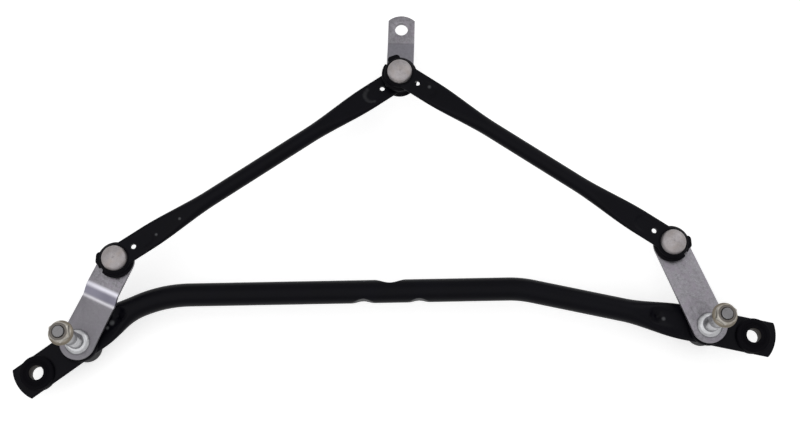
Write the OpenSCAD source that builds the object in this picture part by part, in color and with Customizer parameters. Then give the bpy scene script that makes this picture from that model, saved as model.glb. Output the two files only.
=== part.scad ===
// Wiper linkage: a bent tube frame carries two pivots, and two rods tie their levers to one motor crank.
// Millimetres, +Z along the spindles towards the wiper arms, +X through both mounting holes.
// The origin is midway between the mounting holes, at mid thickness of the flattened tube.

/* [Frame] */
// Distance between the two mounting holes
hole_span = 516; // [400:1:640]
// Outside diameter of the frame tube
tube_d = 17; // [14:0.5:20]
// Width of the flattened tube ends
flat_w = 25.6; // [22:0.1:30]
// Thickness of the flattened tube ends
flat_t = 3.4; // [2.4:0.1:5]
// Length of the flattened ends past their mounting holes
tip_reach = 16.5; // [14:0.5:20]
// Radius of the rounded tips
tip_r = 27; // [20:0.5:40]
// Rise angle of the left leg
left_leg_angle = 33.5; // [25:0.5:40]
// Left leg from its mounting hole to the bend corner
left_leg = 95.4; // [92:0.1:110]
// Flattened length of the left leg beyond its hole
left_flat = 51; // [50:0.5:53]
// Length over which the left leg turns from flat to round
left_taper = 27; // [20:1:30]
// Centreline radius of the left bend
left_bend_r = 40; // [25:1:42]
// Rise angle of the right leg
right_leg_angle = 14.8; // [8:0.1:20]
// Right leg from its mounting hole to the bend corner
right_leg = 170.5; // [140:0.5:190]
// Flattened length of the right leg beyond its hole
right_flat = 50; // [46:1:60]
// Length over which the right leg turns from flat to round
right_taper = 44; // [30:1:50]
// Centreline radius of the right bend
right_bend_r = 80; // [40:1:120]
// From the left bend corner to the middle pinch
dent_at = 177.5; // [120:0.5:200]
// Spacing of the pinches in the middle of the tube
dent_pitch = 21; // [16:0.5:26]
// Radius of the tool that pinches the tube
dent_r = 9; // [6:0.5:14]
// Depth of each pinch
dent_depth = 1.8; // [0.8:0.1:2.5]

/* [Mounting bushes] */
// Inside diameter of the steel mounting sleeve
sleeve_bore = 10.4; // [8:0.1:11]
// Wall of the mounting sleeve
sleeve_wall = 1.2; // [0.8:0.1:2]
// How far the sleeve stands past the rubber on each side
sleeve_proud = 0.4; // [0.2:0.1:1.5]
// Diameter of the hole that holds the rubber grommet
grommet_hole = 19; // [17:0.5:20]
// Outside diameter of the grommet flanges
grommet_d = 25; // [22:0.5:26]
// Thickness of each grommet flange
grommet_flange = 3.2; // [2:0.1:4.5]

/* [Pivots] */
// Left spindle from its mounting hole, along the leg
left_pivot = 36.2; // [34:0.1:37]
// Right spindle from its mounting hole, along the leg
right_pivot = 33.1; // [32:0.1:36]
// Diameter of the spindle
spindle_d = 11; // [9:0.1:12]
// Radial running clearance of the spindle in its bush
spindle_fit = 0.05; // [0.02:0.01:0.1]
// Wall of the bearing bush
bush_wall = 1.45; // [1:0.05:2]
// Thickness of the bush flange under the lever
bush_flange = 0.7; // [0.5:0.1:1.5]
// Diameter of the housing neck in the flattened tube
neck_d = 18; // [17:0.5:20]
// Diameter of the bearing housing behind the tube
housing_d = 22; // [21:0.5:26]
// Depth of the bearing housing behind the tube
housing_depth = 20.5; // [15:0.5:30]
// Diameter of the clamping collar in front of the tube
collar_d = 28; // [25:0.5:32]
// Height of the clamping collar
collar_h = 3.5; // [2.5:0.1:5]
// Diameter of the shoulder on top of the lever
shoulder_d = 18.6; // [15:0.2:20]
// Height of the shoulder on top of the lever
shoulder_h = 3.2; // [2.4:0.1:4.5]
// Spindle length above the lever
spindle_up = 50; // [40:1:65]
// Length of the tapered seat for the wiper arm
arm_seat_l = 11; // [8:0.5:14]
// Small diameter of the tapered seat
arm_seat_d = 9; // [8.4:0.1:10]
// Thread diameter at the tip
thread_d = 7.8; // [6:0.1:8]
// Length of the threaded tip
thread_l = 10; // [9:0.5:14]
// Width across the flats of the arm nut
nut_af = 13; // [12:0.5:17]
// Height of the arm nut
nut_h = 8; // [6.5:0.1:8.5]
// Diameter of the flange under the nut
nut_flange_d = 17.4; // [16:0.2:20]
// Thickness of that flange
nut_flange_t = 1.8; // [1.2:0.1:2.4]
// How far the thread shows past the nut
thread_proud = 1; // [0.5:0.1:2]
// Thickness of the washer under the housing
washer_t = 1; // [0.8:0.1:1.5]
// Diameter of the washer under the housing
washer_d = 19; // [18:0.5:21]
// Thickness of the retaining ring
ring_t = 1.2; // [0.8:0.1:1.6]
// Outside diameter of the retaining ring
ring_d = 16.4; // [15:0.2:18]
// Depth of the retaining ring groove
groove_depth = 0.6; // [0.4:0.1:1]
// Spindle length below the retaining ring
spindle_tail = 2.5; // [1.5:0.1:4]

/* [Levers] */
// Lever length from the spindle to the ball
lever_l = 64; // [60:0.1:70]
// Lever width
lever_w = 24; // [20:0.5:28]
// Lever thickness
lever_t = 3; // [2.5:0.1:4]
// Direction of the left lever from +X
left_lever_angle = 62.6; // [57:0.1:68]
// Direction of the right lever from +X
right_lever_angle = 109.8; // [105:0.1:116]
// Step of the left lever towards the viewer
joggle_step = 5; // [3:0.1:7]
// Start of the step, from the spindle
joggle_start = 29; // [27:0.5:30]
// Length of the step
joggle_run = 11; // [10:0.5:15]
// Inside radius of the plate bends
bend_in_r = 3; // [1.5:0.1:4]

/* [Ball joints] */
// Ball diameter
ball_d = 11; // [10:0.1:11.5]
// Height of a ball centre above its plate
ball_up = 7; // [6.6:0.1:8]
// Neck diameter under a ball
stud_neck_d = 6.8; // [6:0.1:7]
// Diameter of the stud collar on the plate
stud_collar_d = 11.5; // [10:0.1:13]
// Height of the stud collar
stud_collar_h = 0.9; // [0.6:0.1:1.2]
// Rivet shank diameter in the plate
rivet_d = 8; // [6:0.1:9]
// Rivet head diameter behind the plate
rivet_head_d = 12; // [10:0.1:14]
// Rivet head height behind the plate
rivet_head_h = 1.8; // [1.2:0.1:2.5]
// Gap between a ball and its plastic socket
ball_gap = 0.3; // [0.2:0.05:0.4]
// Wider gap round the pin at the left rod's inner end
open_gap = 1.6; // [1.45:0.05:1.7]
// Diameter of the plastic socket
socket_d = 22.8; // [21:0.2:25]
// Socket depth below the ball centre
socket_down = 5.2; // [4.6:0.1:5.6]
// Socket shelf height above the ball centre, where the cap sits
socket_up = 1.7; // [1.6:0.1:2.4]
// Width of the socket's moulded lug
lug_w = 9.4; // [7:0.2:12]
// Reach of the lug from the ball centre
lug_reach = 14.2; // [13:0.1:15]
// Radius of the lug's corners
lug_round = 2.6; // [1:0.1:3.2]
// Turn of the lug from the rod direction
lug_turn = 144; // [138:1:155]
// Turn of the lug on the open socket
open_lug_turn = -66; // [-80:1:-55]
// Diameter of the steel cap
cap_d = 18.2; // [17.4:0.1:19]
// Height of the cap above the shelf
cap_h = 5.3; // [5:0.1:6.5]
// Height of the cap's straight skirt
cap_skirt = 1.4; // [0.8:0.1:3]
// Sheet thickness of the cap
cap_wall = 0.6; // [0.4:0.1:0.8]
// Diameter of the dimple in the cap
dimple_d = 2.4; // [1.5:0.1:3.5]

/* [Rods] */
// Distance of the crank pin from the origin, sideways
pin_x = 13.4; // [8:0.1:18]
// Distance of the crank pin from the origin, across
pin_y = 206.5; // [195:0.1:215]
// Height between the two balls on the crank pin
pin_pitch = 11.4; // [11.2:0.1:16]
// Height of the upper crank ball
pin_top = 25.4; // [22:0.1:28]
// Rod tube diameter
rod_d = 12; // [10:0.1:12.5]
// Width of the flattened rod ends
rod_flat_w = 18.2; // [17.6:0.1:19]
// Thickness of the flattened rod ends
rod_flat_t = 2.6; // [2:0.1:3]
// Flattened length from the ball centre
rod_flat = 27; // [25:0.5:32]
// Length over which the rod turns from flat to round
rod_taper = 55; // [40:1:65]
// Diameter of the socket hole in the rod end
rod_eye = 16; // [15.6:0.1:16.4]
// Diameter of the small tooling hole
tool_hole = 4.2; // [3:0.1:5]
// Tooling hole from the ball centre
tool_hole_x = 15.8; // [15:0.1:18]

/* [Crank] */
// Crank length from the pin to the motor shaft
crank_l = 45.9; // [44:0.1:56]
// Direction of the crank from +X
crank_angle = 85.4; // [80:0.1:95]
// Crank width
crank_w = 20.4; // [18:0.2:24]
// Crank thickness
crank_t = 4; // [3:0.1:5]
// Step of the crank away from the viewer
crank_step = 8; // [5:0.1:10]
// Start of the crank step, from the pin
crank_step_start = 13.5; // [12:0.5:15]
// Length of the crank step
crank_step_run = 20.5; // [14:0.5:21.5]
// Motor shaft hole diameter
shaft_hole = 10; // [8:0.1:11]
// Crank length past the motor shaft hole
crank_end = 11; // [10.5:0.1:14]
// Radius of the crank's blunt end
crank_tip_r = 15; // [12:0.5:20]

/* [Hidden] */
$fn = 64;
// Sides of a skinned tube
sides = 32;
// Clearance of a rod end in its moulded socket
slot_fit = 0.02;
// Overshoot of cuts through a face
cut = 1;
// Flat faces of different moving bodies stay this far apart
run_gap = 0.3;
// Edge break on turned pieces
edge = 0.6;
// Angle of the open part of the retaining ring
ring_opening = 70;

left_hole = [-hole_span / 2, 0];
right_hole = [hole_span / 2, 0];
right_dir = 180 - right_leg_angle;
left_spindle = left_hole + left_pivot * ray(left_leg_angle);
right_spindle = right_hole + right_pivot * ray(right_dir);
left_corner = left_hole + left_leg * ray(left_leg_angle);
right_corner = right_hole + right_leg * ray(right_dir);
run_vec = right_corner - left_corner;
run_angle = atan2(run_vec[1], run_vec[0]);
left_turn = left_leg_angle - run_angle;
right_turn = run_angle + right_leg_angle;
left_tangent = left_bend_r * tan(left_turn / 2);
right_tangent = right_bend_r * tan(right_turn / 2);

// Heights along the spindles
plate_top = flat_t / 2;
housing_bottom = -plate_top - housing_depth;
collar_top = plate_top + collar_h;
bush_top = collar_top + bush_flange;
lever_z = bush_top + run_gap;
lever_top = lever_z + lever_t;
washer_z = housing_bottom - washer_t;
ring_z = washer_z - run_gap - ring_t;
spindle_bottom = ring_z - spindle_tail;
spindle_top = lever_top + spindle_up;

// Ball centres
left_ball = concat(left_spindle + lever_l * ray(left_lever_angle), lever_top + joggle_step + ball_up);
right_ball = concat(right_spindle + lever_l * ray(right_lever_angle), lever_top + ball_up);
pin_upper = [pin_x, pin_y, pin_top];
pin_lower = [pin_x, pin_y, pin_top - pin_pitch];
crank_top = pin_lower[2] - ball_up;
crank_z = crank_top - crank_t;
ball_r = ball_d / 2;
cavity_r = ball_r + ball_gap;
open_r = ball_r + open_gap;
cap_in_r = cap_d / 2 - cap_wall;
cap_top = socket_up + cap_h;
// The cap's crown is part of a ball that reaches the skirt's upper edge
crown_h = cap_h - cap_skirt;
crown_r = (pow(cap_d / 2, 2) + pow(crown_h, 2)) / (2 * crown_h);

steel_black = [0.07, 0.07, 0.08];
zinc = [0.72, 0.72, 0.74];
nut_zinc = [0.70, 0.66, 0.54];
bright = [0.80, 0.78, 0.76];
rubber = [0.04, 0.04, 0.045];
nylon = [0.09, 0.09, 0.10];
bronze = [0.55, 0.43, 0.27];

// A unit vector at an angle from +X
function ray(a) = [cos(a), sin(a)];
// Smooth blend from 0 to 1
function ease(s) = s * s * (3 - 2 * s);
function mix(a, b, s) = a + (b - a) * s;

// Points of a plate's middle line with a step of two bends, as [along, up, tilt]
function step_line(x0, start, run, rise, x1, r, n = 6) =
    let (a = atan2(abs(rise), run), s = sign(rise), t = r * tan(a / 2))
    concat(
        [[x0, 0, 0]],
        [for (i = [0:n]) let (p = a * i / n) [start - t + r * sin(p), s * (r - r * cos(p)), s * p]],
        [for (i = [n:-1:0]) let (p = a * i / n)
            [start + run + t - r * sin(p), rise - s * (r - r * cos(p)), s * p]],
        [[x1, rise, 0]]);
// One face of that plate, at a distance from its middle line
function plate_face(line, d) = [for (q = line) [q[0] - d * sin(q[2]), q[1] + d * cos(q[2])]];
function backwards(v) = [for (i = [len(v) - 1:-1:0]) v[i]];

module place(p, a = 0) translate([p[0], p[1], len(p) > 2 ? p[2] : 0]) rotate([0, 0, a]) children();

// A bar's cross section: flat faces and round edges
module stadium(w, t) {
    square([w - t, t], center = true);
    translate([(w - t) / 2, 0]) circle(d = t);
    translate([(t - w) / 2, 0]) circle(d = t);
}

// A bar along +X with that cross section
module bar(x0, x1, w, t) translate([x0, 0, 0]) rotate([90, 0, 90]) linear_extrude(x1 - x0) stadium(w, t);

// A tube's cross section of a given width and thickness, as [across, up]
function tube_section(w, t) = [for (k = [0:sides - 1])
    let (a = (k + 0.5) * 360 / sides, r = t / 2 / cos(180 / sides))
    [r * cos(a) + sign(cos(a)) * (w - t) / 2, r * sin(a)]];

// Tube skinned over stations of [x, y, direction, width, thickness]
module skinned(stations) {
    n = len(stations);
    m = sides;
    skin = [for (s = stations) for (q = tube_section(s[3], s[4]))
        [s[0] - sin(s[2]) * q[0], s[1] + cos(s[2]) * q[0], q[1]]];
    walls = [for (i = [0:n - 2]) for (k = [0:m - 1]) for (half = [0, 1])
        let (a = i * m + k, b = i * m + (k + 1) % m)
        half == 0 ? [a, a + m, b + m] : [a, b + m, b]];
    start_cap = [for (k = [0:m - 1]) k];
    end_cap = [for (k = [m - 1:-1:0]) (n - 1) * m + k];
    polyhedron(skin, concat(walls, [start_cap, end_cap]));
}

// Stations along a straight stretch that is drawn from flat to round
function drawn(p, dir, x0, x1, w, t, d, n = 8) = [for (i = [0:n])
    let (s = ease(i / n), q = p + mix(x0, x1, i / n) * ray(dir))
    [q[0], q[1], dir, mix(w, d, s), mix(t, d, s)]];
// The same stations met from the far end
function returned(v) = [for (q = backwards(v)) [q[0], q[1], q[2] + 180, q[3], q[4]]];

// Plan of a plate with round ends
module strap(l, w) {
    translate([0, -w / 2]) square([l, w]);
    circle(d = w);
    translate([l, 0]) circle(d = w);
}

// A ring about Z
module ring(r_in, r_out, z0, z1) {
    difference() {
        translate([0, 0, z0]) cylinder(r = r_out, h = z1 - z0);
        translate([0, 0, z0 - cut]) cylinder(r = r_in, h = z1 - z0 + 2 * cut);
    }
}

// Stations of one leg from the tip past its mounting hole up to the round tube
function leg(hole, dir, flat_end, taper) = concat(
    [let (q = hole - (tip_reach + cut) * ray(dir)) [q[0], q[1], dir, flat_w, flat_t]],
    drawn(hole, dir, flat_end, flat_end + taper, flat_w, flat_t, tube_d));

// Stations round a bend at a corner, turning clockwise from one direction to the next
function tube_bend(corner, dir, turn, r, n = 8) =
    let (centre = corner - r * tan(turn / 2) * ray(dir) + r * ray(dir - 90))
    [for (i = [0:n]) let (a = dir - turn * i / n, q = centre + r * ray(a + 90)) [q[0], q[1], a, tube_d, tube_d]];

// What is cut off a flat end along -X to give it a tip of radius r at a reach from its hole
module tip_cut(reach, r, w, t) difference() {
    translate([-2 * reach, -w, -t]) cube([2 * reach, 2 * w, 2 * t]);
    translate([r - reach, 0, 0]) cylinder(r = r, h = 4 * t, center = true);
}

// Three pinches across the tube, alternating from side to side
module pinches() {
    across = tube_d / 2 + dent_r - dent_depth;
    place(left_corner, run_angle) for (i = [-1:1])
        translate([dent_at + i * dent_pitch, (i == 0 ? 1 : -1) * across, 0])
            cylinder(r = dent_r, h = 2 * tube_d, center = true);
}

module frame_tube() color(steel_black) difference() {
    skinned(concat(
        leg(left_hole, left_leg_angle, left_flat, left_taper),
        tube_bend(left_corner, left_leg_angle, left_turn, left_bend_r),
        tube_bend(right_corner, run_angle, right_turn, right_bend_r),
        returned(leg(right_hole, right_dir, right_flat, right_taper))));
    place(left_hole, left_leg_angle) tip_cut(tip_reach, tip_r, flat_w, flat_t);
    place(right_hole, right_dir) tip_cut(tip_reach, tip_r, flat_w, flat_t);
    for (p = [left_hole, right_hole]) place(p) cylinder(d = grommet_hole, h = 2 * flat_t, center = true);
    for (p = [left_spindle, right_spindle]) place(p) cylinder(d = neck_d, h = 2 * flat_t, center = true);
    pinches();
}

// Rubber grommet with a flange on each side of the flattened tube
module grommet() {
    top = plate_top + grommet_flange;
    bore = sleeve_bore / 2 + sleeve_wall;
    rim = grommet_d / 2;
    core = grommet_hole / 2;
    rotate_extrude() polygon([
        [bore, -top], [rim - edge, -top], [rim, -top + 2 * edge], [rim, -plate_top], [core, -plate_top],
        [core, plate_top], [rim, plate_top], [rim, top - 2 * edge], [rim - edge, top], [bore, top]]);
}
module grommet_left() color(rubber) place(left_hole) grommet();
module grommet_right() color(rubber) place(right_hole) grommet();

// Steel sleeve inside the grommet
module sleeve() {
    half = plate_top + grommet_flange + sleeve_proud;
    ring(sleeve_bore / 2, sleeve_bore / 2 + sleeve_wall, -half, half);
}
module sleeve_left() color(zinc) place(left_hole) sleeve();
module sleeve_right() color(zinc) place(right_hole) sleeve();

// Turned bearing housing: neck through the tube, body behind it
module housing() {
    bore = spindle_d / 2 + spindle_fit + bush_wall;
    body = housing_d / 2;
    rotate_extrude() polygon([
        [bore, housing_bottom], [body - 2 * edge, housing_bottom], [body, housing_bottom + 2 * edge],
        [body, -plate_top], [neck_d / 2, -plate_top], [neck_d / 2, collar_top], [bore, collar_top]]);
}
module housing_left() color(steel_black) place(left_spindle) housing();
module housing_right() color(steel_black) place(right_spindle) housing();

// Clamping collar on the housing neck, in front of the tube
module collar() {
    rim = collar_d / 2;
    rotate_extrude() polygon([
        [neck_d / 2, plate_top], [rim, plate_top], [rim, collar_top - 2 * edge],
        [rim - 2 * edge, collar_top], [neck_d / 2, collar_top]]);
}
module collar_left() color(steel_black) place(left_spindle) collar();
module collar_right() color(steel_black) place(right_spindle) collar();

// Flanged bearing bush
module bush() {
    bore = spindle_d / 2 + spindle_fit;
    wall = bore + bush_wall;
    rotate_extrude() polygon([
        [bore, housing_bottom], [wall, housing_bottom], [wall, collar_top],
        [neck_d / 2 - edge, collar_top], [neck_d / 2 - edge, bush_top], [bore, bush_top]]);
}
module bush_left() color(bronze) place(left_spindle) bush();
module bush_right() color(bronze) place(right_spindle) bush();

// Washer against the lower face of the housing
module washer() ring(spindle_d / 2 + run_gap, washer_d / 2, washer_z, housing_bottom);
module washer_left() color(zinc) place(left_spindle) washer();
module washer_right() color(zinc) place(right_spindle) washer();

// Spindle: ring groove, bearing length, shoulder on the lever, tapered arm seat and threaded tip
module spindle() {
    r = spindle_d / 2;
    shoulder = shoulder_d / 2;
    seat_top = spindle_top - thread_l;
    seat_low = seat_top - arm_seat_l;
    shoulder_top = lever_top + shoulder_h;
    rotate_extrude() polygon([
        [0, spindle_bottom], [r - edge, spindle_bottom], [r, spindle_bottom + edge], [r, ring_z],
        [r - groove_depth, ring_z], [r - groove_depth, ring_z + ring_t], [r, ring_z + ring_t],
        [r, lever_top], [shoulder, lever_top], [shoulder, lever_top + edge],
        [shoulder - edge, lever_top + 0.6 * shoulder_h], [shoulder - 3 * edge, shoulder_top], [r, shoulder_top],
        [r, seat_low], [arm_seat_d / 2, seat_top], [thread_d / 2, seat_top],
        [thread_d / 2, spindle_top - edge], [thread_d / 2 - edge, spindle_top], [0, spindle_top]]);
}
module spindle_left() color(bright) place(left_spindle) spindle();
module spindle_right() color(bright) place(right_spindle) spindle();

// Open retaining ring in the spindle groove
module retainer() translate([0, 0, ring_z]) rotate([0, 0, ring_opening / 2]) rotate_extrude(angle = 360 - ring_opening)
    translate([spindle_d / 2 - groove_depth, 0]) square([ring_d / 2 - spindle_d / 2 + groove_depth, ring_t]);
module retainer_left() color(zinc) place(left_spindle, left_lever_angle) retainer();
module retainer_right() color(zinc) place(right_spindle, right_lever_angle) retainer();

// Hexagon nut with a flange under it and a round top face
module arm_nut() {
    z1 = spindle_top - thread_proud;
    z0 = z1 - nut_h;
    difference() {
        union() {
            translate([0, 0, z0 + edge]) cylinder(d = nut_af / cos(30), h = nut_h - 2 * edge, $fn = 6);
            translate([0, 0, z0]) cylinder(d = nut_flange_d, h = nut_flange_t);
            translate([0, 0, z0]) cylinder(d = nut_af - edge, h = nut_h);
        }
        translate([0, 0, z0 - cut]) cylinder(d = thread_d, h = nut_h + 2 * cut);
    }
}
module arm_nut_left() color(nut_zinc) place(left_spindle, left_lever_angle) arm_nut();
module arm_nut_right() color(nut_zinc) place(right_spindle, right_lever_angle) arm_nut();

// Plate along +X with a step, its lower face at height 0 where it starts
module stepped_plate(l0, l1, w, t, start, run, rise, x0_round, x1_round) {
    line = step_line(l0, start, run, rise, l1, bend_in_r + t / 2);
    intersection() {
        rotate([90, 0, 0]) linear_extrude(w, center = true)
            translate([0, t / 2]) polygon(concat(plate_face(line, -t / 2), backwards(plate_face(line, t / 2))));
        translate([0, 0, min(rise, 0) - cut]) linear_extrude(abs(rise) + t + 2 * cut)
            translate([x0_round, 0]) strap(x1_round - x0_round, w);
    }
}

module lever_left() color(zinc) place(concat(left_spindle, lever_z), left_lever_angle) difference() {
    stepped_plate(-lever_w, lever_l + lever_w, lever_w, lever_t, joggle_start, joggle_run, joggle_step, 0, lever_l);
    translate([0, 0, -cut]) cylinder(d = spindle_d, h = lever_t + 2 * cut);
    translate([lever_l, 0, joggle_step - cut]) cylinder(d = rivet_d, h = lever_t + 2 * cut);
}

module lever_right() color(zinc) place(concat(right_spindle, lever_z), right_lever_angle) difference() {
    linear_extrude(lever_t) strap(lever_l, lever_w);
    translate([0, 0, -cut]) cylinder(d = spindle_d, h = lever_t + 2 * cut);
    translate([lever_l, 0, -cut]) cylinder(d = rivet_d, h = lever_t + 2 * cut);
}

// Rivet head, shank and collar of a stud, with the plate's top face at height 0
module stud_foot(plate) rotate_extrude() polygon([
    [0, -plate - rivet_head_h], [rivet_head_d / 2 - 2 * edge, -plate - rivet_head_h],
    [rivet_head_d / 2, -plate - edge], [rivet_head_d / 2, -plate], [rivet_d / 2, -plate], [rivet_d / 2, 0],
    [stud_collar_d / 2, 0], [stud_collar_d / 2, stud_collar_h], [0, stud_collar_h]]);

module ball_stud() translate([0, 0, -ball_up]) {
    stud_foot(lever_t);
    cylinder(d = stud_neck_d, h = ball_up);
    translate([0, 0, ball_up]) sphere(d = ball_d);
}
module ball_stud_left() color(bright) place(left_ball) ball_stud();
module ball_stud_right() color(bright) place(right_ball) ball_stud();

// Places its children on a rod whose +X runs from the outer ball to the inner one
module on_rod(a, b) {
    v = b - a;
    plan = norm([v[0], v[1]]);
    translate(a) rotate([0, -atan2(v[2], plan), atan2(v[1], v[0])]) children();
}
left_rod_l = norm(pin_lower - left_ball);
right_rod_l = norm(pin_upper - right_ball);

// Room for a flattened rod end along +X with its round tip, less the plug through its socket hole
module rod_slot() difference() {
    intersection() {
        bar(-rod_flat_w / 2 - slot_fit, rod_flat, rod_flat_w + 2 * slot_fit, rod_flat_t + 2 * slot_fit);
        translate([0, 0, -rod_flat_t]) linear_extrude(2 * rod_flat_t)
            strap(rod_flat + rod_flat_w, rod_flat_w + 2 * slot_fit);
    }
    cylinder(d = rod_eye - 2 * slot_fit, h = 2 * rod_flat_t, center = true);
}

// Stations of one rod end, from past its tip up to the round tube
function rod_stations() = concat(
    [[-rod_flat_w / 2, 0, 0, rod_flat_w, rod_flat_t]],
    drawn([0, 0], 0, rod_flat, rod_flat + rod_taper, rod_flat_w, rod_flat_t, rod_d));
// The far end of a rod of a given length
function far_end(v, l) = [for (q = backwards(v)) [l - q[0], q[1], q[2], q[3], q[4]]];

module rod(l) difference() {
    skinned(concat(rod_stations(), far_end(rod_stations(), l)));
    for (e = [0, 1]) translate([e * l, 0, 0]) mirror([e, 0, 0]) {
        difference() {
            translate([-rod_flat_w, -rod_flat_w, -rod_flat_t]) cube([rod_flat_w, 2 * rod_flat_w, 2 * rod_flat_t]);
            cylinder(d = rod_flat_w, h = 4 * rod_flat_t, center = true);
        }
        cylinder(d = rod_eye, h = 2 * rod_flat_t, center = true);
        translate([tool_hole_x, 0, 0]) cylinder(d = tool_hole, h = 2 * rod_flat_t, center = true);
    }
}
module rod_left() color(steel_black) on_rod(left_ball, pin_lower) rod(left_rod_l);
module rod_right() color(steel_black) on_rod(right_ball, pin_upper) rod(right_rod_l);

// Plan of a lug along +X with round corners
module lug_plan() {
    translate([0, -lug_w / 2]) square([lug_reach - lug_round, lug_w]);
    translate([0, lug_round - lug_w / 2]) square([lug_reach, lug_w - 2 * lug_round]);
    for (s = [-1, 1]) translate([lug_reach - lug_round, s * (lug_w / 2 - lug_round)]) circle(r = lug_round);
}

// Outside of a moulded socket round a rod end, with its lug on the side given by the turn
module socket_body(turn) {
    r = socket_d / 2;
    rotate_extrude() polygon([
        [0, -socket_down], [r - edge, -socket_down], [r, -socket_down + edge],
        [r, socket_up - 2 * edge], [r - 2 * edge, socket_up], [0, socket_up]]);
    rotate([0, 0, turn]) translate([0, 0, -socket_down + 2 * edge])
        linear_extrude(socket_down + socket_up - 5 * edge) lug_plan();
}

// Crown of a cap or of the plastic under it: a ball's top cut by a cylinder
module crown(r, inset) intersection() {
    translate([0, 0, socket_up]) cylinder(r = r, h = cap_h);
    translate([0, 0, cap_top - crown_r]) sphere(r = crown_r - inset, $fn = 96);
}

// Mouth under the ball
module mouth(r) {
    wide = stud_neck_d / 2 + r - ball_r + 1.5 * edge;
    translate([0, 0, -socket_down - cut]) cylinder(r = wide, h = socket_down + cut - ball_r / 2);
}

module closed_socket(turn) difference() {
    union() {
        socket_body(turn);
        crown(cap_in_r, cap_wall);
    }
    sphere(r = cavity_r);
    mouth(cavity_r);
    rod_slot();
}

// Socket at the left rod's inner end, open above for the crank pin
module open_socket(turn) {
    top = pin_pitch - socket_down - 3 * run_gap;
    difference() {
        union() {
            socket_body(turn);
            cylinder(r = open_r + 3 * edge, h = top);
        }
        sphere(r = open_r);
        mouth(open_r);
        cylinder(r = stud_neck_d / 2 + open_gap + edge, h = top + cut);
        rod_slot();
    }
}

module socket_left_outer() color(nylon) on_rod(left_ball, pin_lower) closed_socket(lug_turn);
module socket_right_outer() color(nylon) on_rod(right_ball, pin_upper) closed_socket(-lug_turn);
module socket_left_inner() color(nylon) on_rod(left_ball, pin_lower)
    translate([left_rod_l, 0, 0]) rotate([0, 0, 180]) open_socket(open_lug_turn);
module socket_right_inner() color(nylon) on_rod(right_ball, pin_upper)
    translate([right_rod_l, 0, 0]) rotate([0, 0, 180]) closed_socket(lug_turn);

// Pressed steel cap over a socket
module cap() difference() {
    crown(cap_d / 2, 0);
    crown(cap_in_r, cap_wall);
    translate([0, 0, cap_top + dimple_d / 3]) sphere(d = dimple_d);
}
module cap_left_outer() color(bright) on_rod(left_ball, pin_lower) cap();
module cap_right_outer() color(bright) on_rod(right_ball, pin_upper) cap();
module cap_right_inner() color(bright) on_rod(right_ball, pin_upper) translate([right_rod_l, 0, 0]) cap();

module crank() color(zinc) place([pin_x, pin_y, crank_z], crank_angle) difference() {
    stepped_plate(-crank_w, crank_l + crank_end + cut, crank_w, crank_t, crank_step_start, crank_step_run,
        -crank_step, 0, crank_l + crank_end);
    translate([0, 0, -cut]) cylinder(d = rivet_d, h = crank_t + 2 * cut);
    translate([crank_l, 0, -crank_step - cut]) cylinder(d = shaft_hole, h = crank_t + 2 * cut);
    translate([crank_l, 0, crank_t / 2 - crank_step]) rotate([0, 0, 180])
        tip_cut(crank_end, crank_tip_r, crank_w, crank_t);
}

// Crank pin with a ball for each rod
module crank_pin() color(bright) place([pin_x, pin_y, crank_top]) {
    stud_foot(crank_t);
    cylinder(d = stud_neck_d, h = ball_up + pin_pitch);
    translate([0, 0, ball_up]) sphere(d = ball_d);
    translate([0, 0, ball_up + pin_pitch]) sphere(d = ball_d);
}

frame_tube();
grommet_left();
grommet_right();
sleeve_left();
sleeve_right();
housing_left();
housing_right();
collar_left();
collar_right();
bush_left();
bush_right();
washer_left();
washer_right();
spindle_left();
spindle_right();
retainer_left();
retainer_right();
arm_nut_left();
arm_nut_right();
lever_left();
lever_right();
ball_stud_left();
ball_stud_right();
rod_left();
rod_right();
socket_left_outer();
socket_left_inner();
socket_right_outer();
socket_right_inner();
cap_left_outer();
cap_right_outer();
cap_right_inner();
crank();
crank_pin();
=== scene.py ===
import math

import bpy
from mathutils import Matrix, Vector


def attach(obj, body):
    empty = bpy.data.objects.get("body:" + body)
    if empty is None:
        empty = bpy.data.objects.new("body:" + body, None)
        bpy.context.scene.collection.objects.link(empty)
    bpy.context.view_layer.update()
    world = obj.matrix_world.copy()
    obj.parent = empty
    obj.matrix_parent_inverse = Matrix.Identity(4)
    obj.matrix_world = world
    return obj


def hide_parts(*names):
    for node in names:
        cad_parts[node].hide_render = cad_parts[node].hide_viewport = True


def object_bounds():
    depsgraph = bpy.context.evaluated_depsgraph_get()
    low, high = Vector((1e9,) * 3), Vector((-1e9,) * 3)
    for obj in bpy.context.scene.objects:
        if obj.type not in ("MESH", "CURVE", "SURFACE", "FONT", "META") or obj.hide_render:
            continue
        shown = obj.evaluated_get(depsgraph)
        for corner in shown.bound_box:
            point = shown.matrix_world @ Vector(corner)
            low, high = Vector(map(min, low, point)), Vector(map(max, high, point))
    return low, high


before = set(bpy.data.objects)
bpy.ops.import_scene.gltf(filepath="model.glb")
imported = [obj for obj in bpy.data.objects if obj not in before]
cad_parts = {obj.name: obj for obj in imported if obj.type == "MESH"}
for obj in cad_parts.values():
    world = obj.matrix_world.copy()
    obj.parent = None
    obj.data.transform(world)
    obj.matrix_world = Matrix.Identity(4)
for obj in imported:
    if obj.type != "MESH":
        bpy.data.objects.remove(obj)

bl_info = {
    "name": "Wiper linkage",
    "version": (1, 0, 0),
    "blender": (4, 5, 0),
    "location": "View3D > Sidebar > Linkage",
    "description": "Dresses the packed wiper linkage: painted tubes, plated levers, ball joints and pivots",
    "category": "Object",
}

CAD_BOX = [list(corner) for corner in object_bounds()]
MM = 0.001

# Sizes and places in millimetres, turns in degrees

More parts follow.
